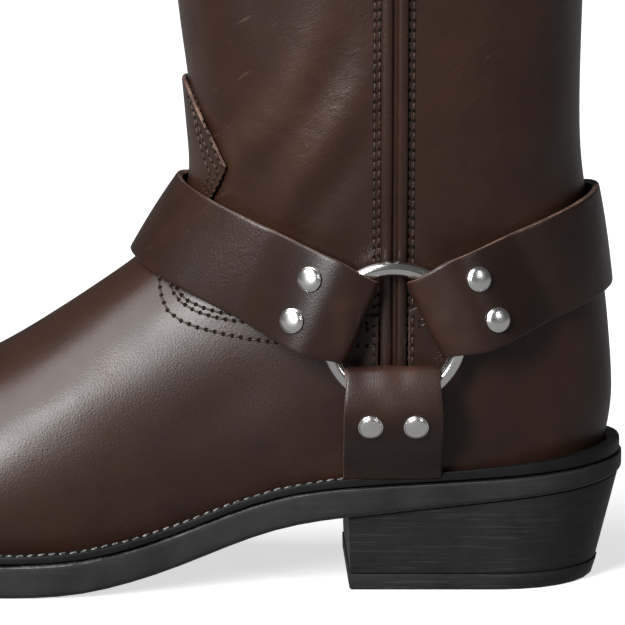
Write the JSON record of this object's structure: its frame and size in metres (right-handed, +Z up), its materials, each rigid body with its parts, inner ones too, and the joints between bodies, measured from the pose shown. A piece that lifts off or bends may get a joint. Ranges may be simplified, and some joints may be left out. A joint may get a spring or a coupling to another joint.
{
  "type": "harness boot",
  "caption": "Tall pull-on leather boot with a block heel, a stitched vamp tab, and harness straps that loop round a metal ring on each side, held by domed rivets.",
  "frame": {"origin": "centre of the heel's tread on the floor", "axes": "+Z up along the shaft, +X to the back of the heel, toe towards -X, outer (lateral) side of this left boot towards -Y"},
  "size_m": [0.3057, 0.1156, 0.325],
  "materials": {
    "leather": "smooth pull-up leather, dark brown, soft sheen",
    "strap_leather": "smooth strap leather, dark brown, lighter raw edges",
    "sole": "black, semi-matte, edge dressed",
    "welt": "black edge-dressed welt with light lockstitch",
    "heel_cap": "black, semi-matte",
    "insole": "natural tan, matte",
    "ring_metal": "polished nickel",
    "rivet_metal": "polished nickel, domed"
  },
  "bodies": {
    "root": {"outsole": "sole", "welt": "welt", "heel_stack": "sole", "heel_cap": "heel_cap", "insole": "insole", "upper": "leather", "vamp": "leather", "counter": "leather", "side_seam_outer": "leather", "side_seam_inner": "leather", "instep_strap": "strap_leather", "heel_strap": "strap_leather", "sole_strap_outer": "strap_leather", "sole_strap_inner": "strap_leather", "ring_outer": "ring_metal", "ring_inner": "ring_metal", "rivet_instep_outer_1": "rivet_metal", "rivet_instep_outer_2": "rivet_metal", "rivet_instep_inner_1": "rivet_metal", "rivet_instep_inner_2": "rivet_metal", "rivet_heel_outer_1": "rivet_metal", "rivet_heel_outer_2": "rivet_metal", "rivet_heel_inner_1": "rivet_metal", "rivet_heel_inner_2": "rivet_metal", "rivet_sole_outer_1": "rivet_metal", "rivet_sole_outer_2": "rivet_metal", "rivet_sole_inner_1": "rivet_metal", "rivet_sole_inner_2": "rivet_metal"}
  },
  "joints": []
}
